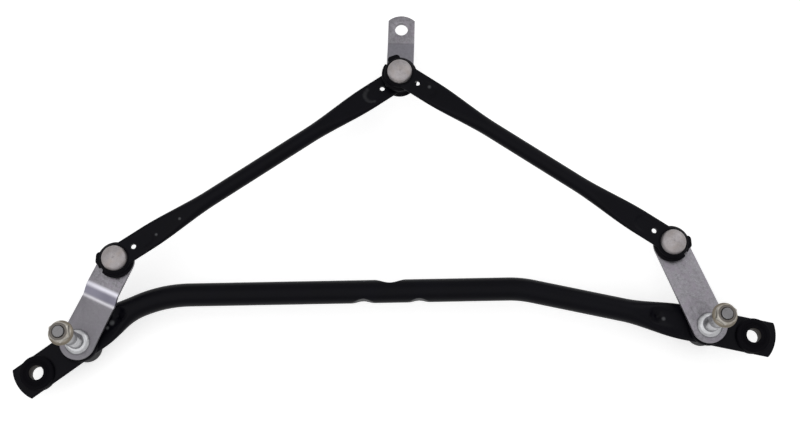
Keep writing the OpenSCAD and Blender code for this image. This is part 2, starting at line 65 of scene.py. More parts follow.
# Frame tube, and the directions of its legs and of the levers
LEFT_HOLE = (-258.0, 0.0)
RIGHT_HOLE = (258.0, 0.0)
LEFT_LEG_DEG = 33.5
RIGHT_LEG_DEG = 165.2
LEFT_LEVER_DEG = 62.6
RIGHT_LEVER_DEG = 109.8
LEFT_LEG = 95.4
RIGHT_LEG = 170.5
LEFT_BEND_R = 95.0
RIGHT_BEND_R = 80.0
LEFT_FLAT = 51.0
RIGHT_FLAT = 50.0
LEFT_TAPER = 34.0
RIGHT_TAPER = 44.0
TUBE_D = 17.0
FLAT_W = 25.6
FLAT_T = 3.4
TIP_REACH = 16.45
TIP_R = 27.0
TIP_TOOL_W = 30.0
LEFT_PIVOT = 36.2
RIGHT_PIVOT = 33.1
GROMMET_HOLE = 19.0
NECK_D = 18.0
DENT_AT = 177.5
DENT_REACH = 33.0
# Each pinch: place along the run from the pinched stretch's middle, side, depth and half length
PINCHES = ((-20.6, -1, 2.3, 9.6), (-0.8, 1, 3.2, 13.5), (20.2, -1, 2.0, 9.2))
# Share of the roundness that is left past a pinch's limit
PINCH_FLAT = 0.04

# Rods
ROD_D = 12.0
ROD_FLAT_W = 18.2
ROD_FLAT_T = 2.6
ROD_FLAT = 27.0
ROD_TAPER = 55.0
ROD_EYE = 16.0
TOOL_HOLE = 3.8
TOOL_HOLE_X = 15.8

# Marks of the press where the flattened ends turn round
PRESS_END = 73.0
PRICK_AT = 69.5
PRICK_R = 1.7
PRICK_DEPTH = 2.3
PRESS_WALL = 3.8
ROD_PRESS_END = 30.5
ROD_PRESS_WALL = 1.7
ROD_SWELL = 1.5
ROD_SWELL_AT = 18.5
ROD_SWELL_RUN = 9.0

# Levers and crank
LEVER_L = 64.0
LEVER_T = 3.0
LEVER_R = 12.9
LEVER_BALL_R = 12.4
STUD_HOLE = 8.0
BLANK = 60.0
PLAN_LOW = -20.0
STEP = {"start": 32.0, "degrees": 34.0, "radius": 5.0, "slope": 5.9}
CRANK_DEG = 85.4
CRANK_L = 45.9
CRANK_W = 20.4
CRANK_T = 4.0
CRANK_TOP = 7.0
CRANK_END = 10.95
CRANK_TIP_R = 15.0
SHAFT_HOLE = 10.0
CRANK_STEP = {"start": 13.5, "degrees": -24.0, "radius": 6.0, "slope": 17.1}

# Pivots, spindles and nuts
SPINDLE_R = 5.5
SPINDLE_TOP = 59.2
SPINDLE_BOTTOM = -27.2
LEVER_TOP = 9.2
PLATE_TOP = 1.7
COLLAR_TOP = 5.2
BUSH_TOP = 5.9
HOUSING_BOTTOM = -22.2
WASHER_Z = -23.2
RING_Z = -24.7
SEAT_LOW = 38.2
SEAT_HIGH = 49.0
# Share of the radius that is left in the grooves of the knurled seat
KNURL_SHARE = 0.955
FINE_STEPS = 96
NUT_Z0 = 50.2
NUT_Z1 = 58.2
NUT_AF = 13.0
NUT_ROUND = 0.12
RING_ROUND = 0.15

# Ball joints. Sockets and caps have their heights from the ball's centre
SOCKET_UP = 1.7
CAP_TOP = 7.0
CAP_R = 9.1
SOCKET_R = 11.4
SOCKET_DOWN = 5.2
FLANGE_R = 13.2
FLANGE_H = 2.4
# Share of each lug's reach that is kept, and the turn of each flange's notch
LUG_DRAWN = {"left_outer": 0.85, "left_inner": 0.85, "right_outer": 0.85, "right_inner": 1.0}
NOTCHES = {"left_outer": 182.0, "right_outer": -182.0, "right_inner": -12.0}
NOTCH_R = 2.0
LEFT_BALL_Z = 21.2
RIGHT_BALL_Z = 16.2
PIN_AT = (13.4, 206.5)
PIN_LOW_Z = 14.0
PIN_HIGH_Z = 25.4
BALL_R = 5.5
NECK_R = 3.4
STUD_UP = 7.0


def ray(degrees):
    """A unit vector in the plan."""
    return Vector((math.cos(math.radians(degrees)), math.sin(math.radians(degrees))))


LEFT_SPINDLE = Vector(LEFT_HOLE) + LEFT_PIVOT * ray(LEFT_LEG_DEG)
RIGHT_SPINDLE = Vector(RIGHT_HOLE) + RIGHT_PIVOT * ray(RIGHT_LEG_DEG)
LEFT_BALL = Vector((*(LEFT_SPINDLE + LEVER_L * ray(LEFT_LEVER_DEG)), LEFT_BALL_Z))
RIGHT_BALL = Vector((*(RIGHT_SPINDLE + LEVER_L * ray(RIGHT_LEVER_DEG)), RIGHT_BALL_Z))
PIN_LOW = Vector((*PIN_AT, PIN_LOW_Z))
PIN_HIGH = Vector((*PIN_AT, PIN_HIGH_Z))
LEFT_CORNER = Vector(LEFT_HOLE) + LEFT_LEG * ray(LEFT_LEG_DEG)
RIGHT_CORNER = Vector(RIGHT_HOLE) + RIGHT_LEG * ray(RIGHT_LEG_DEG)
RUN_DEG = math.degrees(math.atan2(*reversed(RIGHT_CORNER - LEFT_CORNER)))
SIDES = (("left", LEFT_SPINDLE, LEFT_LEVER_DEG), ("right", RIGHT_SPINDLE, RIGHT_LEVER_DEG))

# The photograph's viewpoint, in millimetres, and its frame in pixels
EYE = Vector((1.960, -116.471, 864.003))
LOOK_AT = Vector((8.194, 100.370, 9.0))
EYE_ROLL = -0.053
PHOTO_W = 800
PHOTO_FOCAL = 1200
SENSOR_W = 36.0

# The stage, in metres: glow of the floor, light of the sky, and the lamps with place, size and power
FLOOR_GLOW = 0.55
SKY_LEVEL = 0.42
LAMPS = (("lamp_over", (-0.35, -0.25, 1.5), 2.4, 11.0), ("lamp_side", (1.1, 0.9, 1.2), 1.4, 5.0))

MIDDLE = Vector((0, 0.1, 0))
FLOOR_SIZE = 8.0
FLOOR_GAP = 0.0002

# Finishes
UP = (0, 0, 1)
# Colour of the painted highlight spots, light marks painted on the black tubes and rods
PAINTED_HIGHLIGHT_COLOUR = (0.090, 0.092, 0.098)


def length_prop(name, about, default):
    """A length in the sidebar, given in millimetres."""
    return bpy.props.FloatProperty(name=name, description=about, default=default * MM, unit="LENGTH")


def count_prop(name, about, default):
    """A number of points in the sidebar."""
    return bpy.props.IntProperty(name=name, description=about, default=default, min=24)


def colour_prop(name, about, *default):
    """A colour in the sidebar."""
    return bpy.props.FloatVectorProperty(name=name, description=about, subtype="COLOR", size=3, default=default)


class LinkageSizes(bpy.types.PropertyGroup):
    """Fine sizes of the dressing, beside the sizes that the solids have."""

    edge_round: length_prop("Plate edge", "Rounding of the plates' edges", 0.35)
    moulded_round: length_prop("Moulded edge", "Rounding of the plastic sockets' edges", 0.5)
    cap_shoulder: length_prop("Cap shoulder", "Radius between a cap's face and its skirt", 2.0)
    thread_pitch: length_prop("Thread pitch", "Pitch of the thread on the spindle tips", 1.25)
    press_width: length_prop("Press mark", "Width of the press mark where the frame tube turns round", 5.6)
    rod_press_width: length_prop("Rod press mark", "Width of the press mark where a rod turns round", 8.6)
    tube_sides: count_prop("Tube sides", "Points round each tube", 64)
    turn_steps: count_prop("Turning steps", "Points round each turned piece", 72)


class LinkageColours(bpy.types.PropertyGroup):
    """Colours of the finishes and of the stage."""

    paint: colour_prop("Paint", "Black paint of the tubes", 0.0018, 0.0017, 0.0034)
    cast: colour_prop("Casting", "Black finish of the housings", 0.0015, 0.0014, 0.0028)
    rubber: colour_prop("Rubber", "Grommets", 0.0017, 0.0015, 0.0027)
    nylon: colour_prop("Plastic", "Moulded sockets", 0.0016, 0.0014, 0.0028)
    zinc: colour_prop("Zinc plate", "Levers and crank", 0.190, 0.184, 0.200)
    steel: colour_prop("Dull steel", "Sleeves, washers and retaining rings", 0.060, 0.053, 0.048)
    cap: colour_prop("Caps", "Pressed caps over the balls", 0.290, 0.270, 0.276)
    turned: colour_prop("Turned steel", "Spindles, studs and pin", 0.400, 0.402, 0.415)
    nut: colour_prop("Nuts", "Yellowish zinc of the arm nuts", 0.370, 0.350, 0.315)
    bronze: colour_prop("Bronze", "Bearing bushes", 0.300, 0.190, 0.085)
    floor: colour_prop("Floor", "Pale floor", 0.82, 0.82, 0.82)


def release():
    """Leaves edit mode and lets go of everything."""
    if bpy.context.object and bpy.context.object.mode != "OBJECT":
        bpy.ops.object.mode_set(mode="OBJECT")
    bpy.ops.object.select_all(action="DESELECT")


def hold(piece):
    """Selects one piece alone."""
    release()
    piece.select_set(True)
    bpy.context.view_layer.objects.active = piece


def edit_all(piece):
    """Opens a piece for editing with all of it selected."""
    hold(piece)
    bpy.ops.object.mode_set(mode="EDIT")
    bpy.ops.mesh.select_all(action="SELECT")


def settle(piece, matrix):
    """Puts a piece in its place and keeps the place in its mesh."""
    hold(piece)
    piece.matrix_world = matrix
    bpy.ops.object.transform_apply(location=True, rotation=True, scale=True)


def at(x, y, z=0.0, degrees=0.0):
    """A place in millimetres with a turn about the upright."""
    return Matrix.Translation(Vector((x, y, z)) * MM) @ Matrix.Rotation(math.radians(degrees), 4, "Z")


def along(start, end, distance=0.0):
    """A place on the line between two ball centres, +X towards the second."""
    way = end - start
    plan = math.hypot(way.x, way.y)
    turn = Matrix.Rotation(math.atan2(way.y, way.x), 4, "Z") @ Matrix.Rotation(-math.atan2(way.z, plan), 4, "Y")
    return Matrix.Translation(start * MM) @ turn @ Matrix.Translation((distance * MM, 0, 0))


def rod_end(key):
    """The rod that a ball joint sits on, and the joint's place, for left_outer, left_inner and so on."""
    side, end = key.split("_")
    ball, pin = (LEFT_BALL, PIN_LOW) if side == "left" else (RIGHT_BALL, PIN_HIGH)
    return side + "_rod", along(ball, pin, (pin - ball).length if end == "inner" else 0.0)


def smooth(piece, degrees=35.0):
    """Soft shading with the sharp edges kept."""
    hold(piece)
    bpy.ops.object.shade_smooth_by_angle(angle=math.radians(degrees))


def apply(piece, modifier):
    """Makes a modifier part of the mesh."""
    hold(piece)
    bpy.ops.object.modifier_apply(modifier=modifier.name)


def round_edges(piece, width, segments=2, degrees=40.0):
    """Rounds the sharp edges of a piece."""
    modifier = piece.modifiers.new("round", "BEVEL")
    modifier.width = width
    modifier.segments = segments
    modifier.limit_method = "ANGLE"
    modifier.angle_limit = math.radians(degrees)
    apply(piece, modifier)


def combine(piece, tool, operation):
    """Cuts a piece with a tool, keeps what both share, or joins them."""
    modifier = piece.modifiers.new("cut", "BOOLEAN")
    modifier.operation = operation
    modifier.solver = "EXACT"
    modifier.object = tool
    apply(piece, modifier)
    hold(tool)
    bpy.ops.object.delete()


def tidy_mesh(piece):
    """Merges doubles and turns the faces outwards."""
    edit_all(piece)
    bpy.ops.mesh.remove_doubles(threshold=1e-6)
    bpy.ops.mesh.normals_make_consistent(inside=False)
    bpy.ops.object.mode_set(mode="OBJECT")


def outline(name, points, fill="NGON"):
    """A closed ring of points, in metres."""
    release()
    bpy.ops.mesh.primitive_circle_add(vertices=len(points), radius=MM, fill_type=fill)
    piece = bpy.context.object
    piece.name = name
    for vertex, point in zip(piece.data.vertices, points):
        vertex.co = point
    return piece


def turned(name, profile, steps, sweep=360.0, open_ends=False):
    """A profile of (radius, height) points in millimetres, spun about the upright.
    With open ends the profile starts and ends on the axis."""
    fill = "NOTHING" if sweep == 360.0 else "NGON"
    piece = outline(name, [(radius * MM, 0.0, height * MM) for radius, height in profile], fill)
    bpy.ops.object.mode_set(mode="EDIT")
    if open_ends:
        bpy.ops.mesh.select_mode(type="EDGE")
        bpy.ops.mesh.select_all(action="DESELECT")
        bpy.ops.object.mode_set(mode="OBJECT")
        for edge in piece.data.edges:
            edge.select = set(edge.vertices) == {0, len(profile) - 1}
        bpy.ops.object.mode_set(mode="EDIT")
        bpy.ops.mesh.delete(type="EDGE")
    bpy.ops.mesh.select_mode(type="VERT")
    bpy.ops.mesh.select_all(action="SELECT")
    bpy.ops.mesh.spin(steps=steps, angle=math.radians(sweep), center=(0, 0, 0), axis=(0, 0, 1))
    bpy.ops.object.mode_set(mode="OBJECT")
    tidy_mesh(piece)
    return piece


def cylinder(radius, height, matrix, sides=64):
    """A plain round tool for cutting, centred on its place."""
    release()
    bpy.ops.mesh.primitive_cylinder_add(vertices=sides, radius=radius * MM, depth=height * MM)
    tool = bpy.context.object
    settle(tool, matrix)
    return tool


def prism(name, corners, way):
    """A flat outline in millimetres, drawn out to a solid."""
    piece = outline(name, [Vector(corner) * MM for corner in corners])
    edit_all(piece)
    bpy.ops.mesh.extrude_region_move(TRANSFORM_OT_translate={"value": Vector(way) * MM})
    bpy.ops.object.mode_set(mode="OBJECT")
    tidy_mesh(piece)
    return piece


def tip_tool(radius, height, matrix):
    """Half a ring that cuts a flattened end to a round tip, on the side away from +X."""
    outer = radius + TIP_TOOL_W
    tool = turned("tip", [(radius, -height), (outer, -height), (outer, height), (radius, height)], 48, sweep=180.0)
    settle(tool, matrix @ Matrix.Rotation(-math.pi / 2, 4, "Z"))
    return tool


def copy_of(node, name):
    """A separate copy of a node with its loose triangles joined into faces."""
    release()
    piece = bpy.data.objects.new(name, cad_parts[node].data.copy())
    bpy.context.scene.collection.objects.link(piece)
    edit_all(piece)
    bpy.ops.mesh.remove_doubles(threshold=2e-6)
    bpy.ops.mesh.dissolve_limited(angle_limit=math.radians(0.6))
    bpy.ops.object.mode_set(mode="OBJECT")
    return piece


def stadium_point(share, width, thickness):
    """A point of a flattened tube's section, at a share of the way round it, as (across, up)."""
    r = thickness / 2
    flat = width - thickness
    quarter = math.pi * r / 2
    d = share * (2 * flat + 4 * quarter)
    if d < quarter:
        a = d / r
        return flat / 2 + r * math.cos(a), r * math.sin(a)
    d -= quarter
    if d < flat:
        return flat / 2 - d, r
    d -= flat
    if d < 2 * quarter:
        a = math.pi / 2 + d / r
        return -flat / 2 + r * math.cos(a), r * math.sin(a)
    d -= 2 * quarter
    if d < flat:
        return -flat / 2 + d, -r
    d -= flat
    a = 1.5 * math.pi + d / r
    return flat / 2 + r * math.cos(a), r * math.sin(a)


def station(x, y, heading, width, thickness, press=None, left=None, right=None):
    """One section of a tube. press says what the press leaves there, left and right are the pinches' limits."""
    return {"x": x, "y": y, "heading": heading, "width": width, "thickness": thickness,
            "press": press, "left": left, "right": right}


def pressed(up, across, level, half, past, wall, prick):
    """Height of a tube's surface after the press. The trough has a floor, a half width, a distance past its
    round end and a wall that widens upwards. prick is the distance along the tube from the deep dent in it."""
    off = math.hypot(across, max(0.0, past)) - half
    if up > level:
        up = level + (up - level) * ease(min(1.0, max(0.0, off / wall)))
    if prick is not None:
        up -= PRICK_DEPTH * math.exp(-(across ** 2 + prick ** 2) / (2 * PRICK_R ** 2))
    return up


def ring_of(place, sides):
    """Points of one section, in metres."""
    ahead = math.radians(place["heading"])
    points = []
    for k in range(sides):
        across, up = stadium_point((k + 0.5) / sides, place["width"], place["thickness"])
        if place["press"] is not None:
            up = math.copysign(pressed(abs(up), across, *place["press"]), up)
        if place["left"] is not None and across > place["left"]:
            across = place["left"] + PINCH_FLAT * (across - place["left"])
        if place["right"] is not None and across < -place["right"]:
            across = -place["right"] + PINCH_FLAT * (across + place["right"])
        x, y = place["x"] - math.sin(ahead) * across, place["y"] + math.cos(ahead) * across
        points.append(Vector((x, y, up)) * MM)
    return points


def drawn_tube(name, places, sides):
    """A ring extruded from section to section and closed at both ends."""
    piece = outline(name, ring_of(places[0], sides))
    order = piece.data.attributes.new("side", "INT", "POINT")
    for k in range(sides):
        order.data[k].value = k
    for place in places[1:]:
        hold(piece)
        bpy.ops.object.mode_set(mode="EDIT")
        bpy.ops.mesh.extrude_region_move(TRANSFORM_OT_translate={"value": (0, 0, 0)})
        bpy.ops.object.mode_set(mode="OBJECT")
        points = ring_of(place, sides)
        order = piece.data.attributes["side"]
        for vertex in piece.data.vertices:
            if vertex.select:
                vertex.co = points[order.data[vertex.index].value]
    piece.data.attributes.remove(piece.data.attributes["side"])
    tidy_mesh(piece)
    return piece


def ease(s):
    """A share from 0 to 1 that starts and ends softly."""
    return s * s * (3 - 2 * s)


def leg_places(hole, heading, leg, turn, radius, flat, taper, half):
    """Sections of one leg of the frame, from past its tip through the taper and round its bend.
    The bend turns to the left for a positive angle."""
    side = math.copysign(1.0, turn)
    bend_at = leg - radius * math.tan(math.radians(abs(turn) / 2))
    end = bend_at + radius * math.radians(abs(turn))
    centre = Vector(hole) + bend_at * ray(heading) + radius * ray(heading + 90 * side)
    distances = [-TIP_REACH - 2, -8, 0, 10, 20, 30, 40, flat - 4]
    steps = int(1.2 * taper)
    distances += [flat + taper * i / steps for i in range(steps + 1)]
    start = max(bend_at, flat + taper + 1)
    distances += [start + (end - start) * i / 20 for i in range(21)]
    places = []
    for distance in distances:
        s = ease(min(1.0, max(0.0, (distance - flat) / taper)))
        width, thickness = FLAT_W + (TUBE_D - FLAT_W) * s, FLAT_T + (TUBE_D - FLAT_T) * s
        press = None
        if flat <= distance <= flat + taper:
            level = 0.25 * FLAT_T + 0.25 * thickness
            press = (level, half, distance - PRESS_END + half, PRESS_WALL, distance - PRICK_AT)
        ahead, q = heading, Vector(hole) + distance * ray(heading)
        if distance > bend_at:
            ahead = heading + side * math.degrees((distance - bend_at) / radius)
            q = centre + radius * ray(ahead - 90 * side)
        places.append(station(q.x, q.y, ahead, width, thickness, press))
    return places


def run_places():
    """Sections of the middle run with its three pinches."""
    places = []
    low, high = DENT_AT - DENT_REACH, DENT_AT + DENT_REACH
    steps = 80
    for i in range(steps + 1):
        d = low + (high - low) * i / steps
        q = LEFT_CORNER + d * ray(RUN_DEG)
        limits = {1: TUBE_D, -1: TUBE_D}
        for place, side, depth, half in PINCHES:
            off = (d - DENT_AT - place) / half
            if abs(off) < 1:
                limits[side] = TUBE_D / 2 - depth * (1 + math.cos(math.pi * off)) / 2
        places.append(station(q.x, q.y, RUN_DEG, TUBE_D, TUBE_D, None, limits[1], limits[-1]))
    return places


def rod_places(length, half):
    """Sections of a rod along +X, flat at both ends."""
    end = []
    for distance in (-ROD_FLAT_W / 2 - 2, 0, 12, ROD_SWELL_AT - 1):
        end.append((distance, ROD_FLAT_W, ROD_FLAT_T, None))
    steps = 84
    for i in range(steps + 1):
        distance = ROD_SWELL_AT + (ROD_FLAT + ROD_TAPER - ROD_SWELL_AT) * i / steps
        s = ease(max(0.0, (distance - ROD_FLAT) / ROD_TAPER))
        swell = ROD_SWELL * ease(min(1.0, (distance - ROD_SWELL_AT) / ROD_SWELL_RUN)) * (1 - s)
        press = (ROD_FLAT_T / 2, half, distance - ROD_PRESS_END + half, ROD_PRESS_WALL, None)
        width, thickness = ROD_FLAT_W + (ROD_D - ROD_FLAT_W) * s, ROD_FLAT_T + (ROD_D - ROD_FLAT_T) * s
        end.append((distance, width, thickness + swell, press))
    near = [station(d, 0, 0, w, t, k) for d, w, t, k in end]
    far = [station(length - d, 0, 0, w, t, k) for d, w, t, k in reversed(end)]
    return near + far


def add_node(tree, kind, inputs, **options):
    """A shader node with its options. An input that is given another node's socket is linked to it."""
    made = tree.nodes.new("ShaderNode" + kind)
    for key, value in options.items():
        setattr(made, key, value)
    for key, value in inputs.items():
        if isinstance(value, bpy.types.NodeSocket):
            tree.links.new(value, made.inputs[key])
        else:
            made.inputs[key].default_value = value
    return made


def step_up(tree, value, edge, soft, before, after):
    """A soft change from one number to another where a distance in millimetres passes an edge."""
    step = add_node(tree, "MapRange", {
        "Value": value, "From Min": (edge - soft) * MM, "From Max": (edge + soft) * MM,
        "To Min": before, "To Max": after}, interpolation_type="SMOOTHSTEP")
    return step.outputs["Result"]


def blend(tree, share, under, colour):
    """A colour laid over another by a share."""
    mix = add_node(tree, "Mix", {"Factor": share, "A": under, "B": (*colour, 1)}, data_type="RGBA")
    return mix.outputs["Result"]


def finish(name, colour, spread, mottle, grain, rough, metallic, specular, bump_size, bump_strength,
           tint=None, tint_share=0.0, light_and_shade_bands=(), highlight_spots=()):
    """A finish whose colour, gloss and relief vary over the object.
    spread is how far the colour goes either way, mottle and grain are the patterns' scales,
    and tint is a second colour in patches.
    Each band is (direction, low, high, softness, colour, share): painted light and shade over a stretch between two
    distances along a direction.
    Each highlight spot is a small painted highlight, a light mark (place, radius, share)."""
    material = bpy.data.materials.new(name)
    material.use_nodes = True
    tree = material.node_tree
    shader = tree.nodes["Principled BSDF"]
    shader.inputs["Metallic"].default_value = metallic
    shader.inputs["Specular IOR Level"].default_value = specular
    place = add_node(tree, "TexCoord", {}).outputs["Object"]
    patches = add_node(tree, "TexNoise", {"Vector": place, "Scale": mottle, "Detail": 5.0, "Roughness": 0.6})
    fine = add_node(tree, "TexNoise", {"Vector": place, "Scale": grain, "Detail": 3.0}).outputs["Fac"]
    part = add_node(tree, "Math", {0: fine, 1: 0.4}, operation="MULTIPLY").outputs["Value"]
    both = add_node(tree, "Math", {0: patches.outputs["Fac"], 1: 0.6, 2: part}, operation="MULTIPLY_ADD")
    both = both.outputs["Value"]
    ramp = add_node(tree, "ValToRGB", {"Fac": both})
    for element, position, factor in zip(ramp.color_ramp.elements, (0.32, 0.68), (1 - spread, 1 + spread)):
        element.position = position
        element.color = (*[min(1.0, c * factor) for c in colour], 1)
    out = ramp.outputs["Color"]
    if tint is not None:
        spots = add_node(tree, "TexNoise", {"Vector": place, "Scale": mottle * 0.55, "Detail": 4.0}).outputs["Fac"]
        gate = add_node(tree, "MapRange", {"Value": spots, "From Min": 0.45, "From Max": 0.75, "To Max": tint_share})
        out = blend(tree, gate.outputs["Result"], out, tint)
    # Bands of painted light and shade: each lays a lighter or darker colour over a stretch
    for way, low, high, soft, over, share in light_and_shade_bands:
        reach = add_node(tree, "VectorMath", {0: place, 1: way}, operation="DOT_PRODUCT").outputs["Value"]
        into = step_up(tree, reach, low, soft, 0.0, share)
        past = step_up(tree, reach, high, soft, 1.0, 0.0)
        window = add_node(tree, "Math", {0: into, 1: past}, operation="MULTIPLY").outputs["Value"]
        out = blend(tree, window, out, over)
    # Painted highlights: each spot lightens the colour towards a light grey
    for spot, radius, share in highlight_spots:
        gap = add_node(tree, "VectorMath", {0: place, 1: spot}, operation="DISTANCE").outputs["Value"]
        out = blend(tree, step_up(tree, gap, radius, 0.7 * radius, share, 0.0), out, PAINTED_HIGHLIGHT_COLOUR)
    gloss = add_node(tree, "MapRange", {
        "Value": both, "From Min": 0.3, "From Max": 0.7, "To Min": rough[0], "To Max": rough[1]})
    relief = add_node(tree, "Bump", {"Height": fine, "Strength": bump_strength, "Distance": bump_size})
    tree.links.new(out, shader.inputs["Base Color"])
    tree.links.new(gloss.outputs["Result"], shader.inputs["Roughness"])
    tree.links.new(relief.outputs["Normal"], shader.inputs["Normal"])
    return material


def lever_painted_light():
    """Painted light on the left lever: painted shade on its low part, a painted reflection on its slope and painted
    highlights on its two bends.
    """
    way = (*ray(LEFT_LEVER_DEG), 0.0)
    foot = LEFT_SPINDLE.dot(ray(LEFT_LEVER_DEG)) + STEP["start"]
    # Painted shade on the low part, a painted reflection on the slope, then painted highlights on the lower and upper
    # bends
    return [(way, foot - 60.0, foot - 1.0, 3.0, (0.128, 0.123, 0.136), 0.65),
            (way, foot + 0.3, foot + 10.0, 0.8, (0.255, 0.247, 0.310), 0.9),
            (way, foot - 0.2, foot + 1.8, 1.2, (0.56, 0.55, 0.58), 0.85),
            (way, foot + 7.6, foot + 10.6, 1.4, (0.60, 0.59, 0.65), 0.92)]


def crank_painted_shade():
    """Painted shade on the crank's slope and a painted line of shade at its upper bend."""
    way = (*ray(CRANK_DEG), 0.0)
    rise = PIN_LOW.xy.dot(ray(CRANK_DEG)) + CRANK_STEP["start"]
    # Painted shade on the slope, then a darker painted line of shade along the upper bend
    return [(way, rise, rise + 20.0, 1.0, (0.165, 0.162, 0.188), 0.6),
            (way, rise + 19.8, rise + 20.6, 0.7, (0.085, 0.083, 0.095), 0.6)]


def painted_highlight_spots():
    """Painted highlights: light spots on the black tubes and rods, and a painted highlight crescent at the left rod's
    inner dish.
    """
    marks = (
        (along(LEFT_BALL, PIN_LOW), 0.85, ((34.0, -2.0, 2.0, 0.9), (54.1, -1.9, 4.0, 0.9))),
        (along(PIN_HIGH, RIGHT_BALL), 0.85, ((24.8, 2.4, 2.0, 1.2),)),
        (at(*LEFT_HOLE, 0, LEFT_LEG_DEG), 0.85, ((63.2, -1.6, 2.7, 1.6), (58.4, -2.6, 2.1, 1.1))),
        (at(*RIGHT_HOLE, 0, RIGHT_LEG_DEG), 0.85, ((65.0, 1.0, 2.6, 1.2),)),
        (along(PIN_LOW, LEFT_BALL), 0.3, (
            (25.8, -4.8, 2.4, 1.3), (28.0, -4.0, 2.4, 1.4), (29.6, -2.7, 2.5, 1.5), (30.4, -1.0, 2.6, 1.5),
            (30.4, 1.0, 2.6, 1.5), (29.8, 2.8, 2.5, 1.4), (28.4, 4.2, 2.4, 1.3), (26.5, 5.2, 2.3, 1.2))))
    return [(place @ (Vector((x, y, z)) * MM), r, share) for place, share, spots in marks for x, y, z, r in spots]


FINISHES = {}


def finish_of(slot, colours):
    """The finish of one of the record's slots, or of a plate with painted light and shade, made once."""
    if slot in FINISHES:
        return FINISHES[slot]
    plated = (colours.zinc, 0.4, 480, 1300, (0.34, 0.5), 0.75, 0.5, 0.00005, 0.5, (0.205, 0.180, 0.215), 0.75)
    # Painted shade: the spindles' tip faces and the nuts' upper faces darker, and the nuts' flanges a darker brown
    tip = (UP, SPINDLE_TOP - 0.3, SPINDLE_TOP + 1.0, 0.2, (0.095, 0.092, 0.095), 0.85)
    nut_top_painted_shade = (UP, NUT_Z1 - 0.35, NUT_Z1 + 1.0, 0.2, (0.072, 0.064, 0.060), 0.9)
    nut_flange_painted_shade = (UP, NUT_Z0 - 1.0, NUT_Z0 + 2.4, 0.5, (0.120, 0.098, 0.070), 0.8)
    # Each row: colour, spread, mottle, grain, roughness, metal, specular, relief and its strength, then a tint and its
    # share, bands of painted light and shade, and painted highlight spots
    rows = {
        # The black paint carries painted highlight spots
        "black_paint": (colours.paint, 0.35, 60, 1400, (0.32, 0.44), 0.0, 0.06, 0.00004, 0.25, None, 0.0, (),
                        painted_highlight_spots()),
        "black_cast": (colours.cast, 0.3, 150, 900, (0.45, 0.6), 0.0, 0.05, 0.00008, 0.5),
        "rubber": (colours.rubber, 0.3, 200, 1200, (0.6, 0.75), 0.0, 0.05, 0.00006, 0.5),
        "black_nylon": (colours.nylon, 0.25, 180, 1500, (0.4, 0.52), 0.0, 0.05, 0.00005, 0.35),
        "zinc_plate": plated,
        # Left lever: plated finish with painted shade, a painted reflection and painted highlights
        "bent_plate_painted_light": (*plated, lever_painted_light()),
        # Crank: plated finish with painted shade on its slope and at its upper bend
        "stepped_plate": (*plated, crank_painted_shade()),
        "zinc_steel": (colours.steel, 0.35, 250, 1200, (0.6, 0.75), 0.2, 0.2, 0.00004, 0.3),
        # Turned steel with painted shade on the spindles' tip faces
        "turned_steel": (colours.turned, 0.2, 300, 1600, (0.24, 0.36), 0.9, 0.5, 0.00003, 0.3, None, 0.0, [tip]),
        # Yellow zinc with painted shade on the nuts' upper faces and flanges
        "yellow_zinc": (colours.nut, 0.35, 260, 1300, (0.28, 0.42), 0.85, 0.5, 0.00003, 0.3, (0.25, 0.21, 0.155), 0.5,
                        [nut_top_painted_shade, nut_flange_painted_shade]),
        "pressed_cap": (colours.cap, 0.22, 330, 1300, (0.36, 0.5), 0.6, 0.5, 0.00003, 0.3, (0.27, 0.23, 0.205), 0.5),
        "bronze": (colours.bronze, 0.25, 300, 1500, (0.35, 0.5), 0.9, 0.5, 0.00004, 0.3),
    }
    FINISHES[slot] = finish(slot, *rows[slot])
    return FINISHES[slot]


def dress(piece, body, slot, colours, *nodes):
    """Gives a piece its finish and its body, and hides the nodes it stands for."""
    piece.data.materials.clear()
    piece.data.materials.append(finish_of(slot, colours))
    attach(piece, body)
    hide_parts(*nodes)


def put(piece, matrix, degrees, body, slot, colours, node):
    """Settles a piece in its place, shades it and dresses it."""
    settle(piece, matrix)
    smooth(piece, degrees)
    dress(piece, body, slot, colours, node)


def settings(context):
    """The sidebar's sizes and colours."""
    return context.scene.linkage_sizes, context.scene.linkage_colours


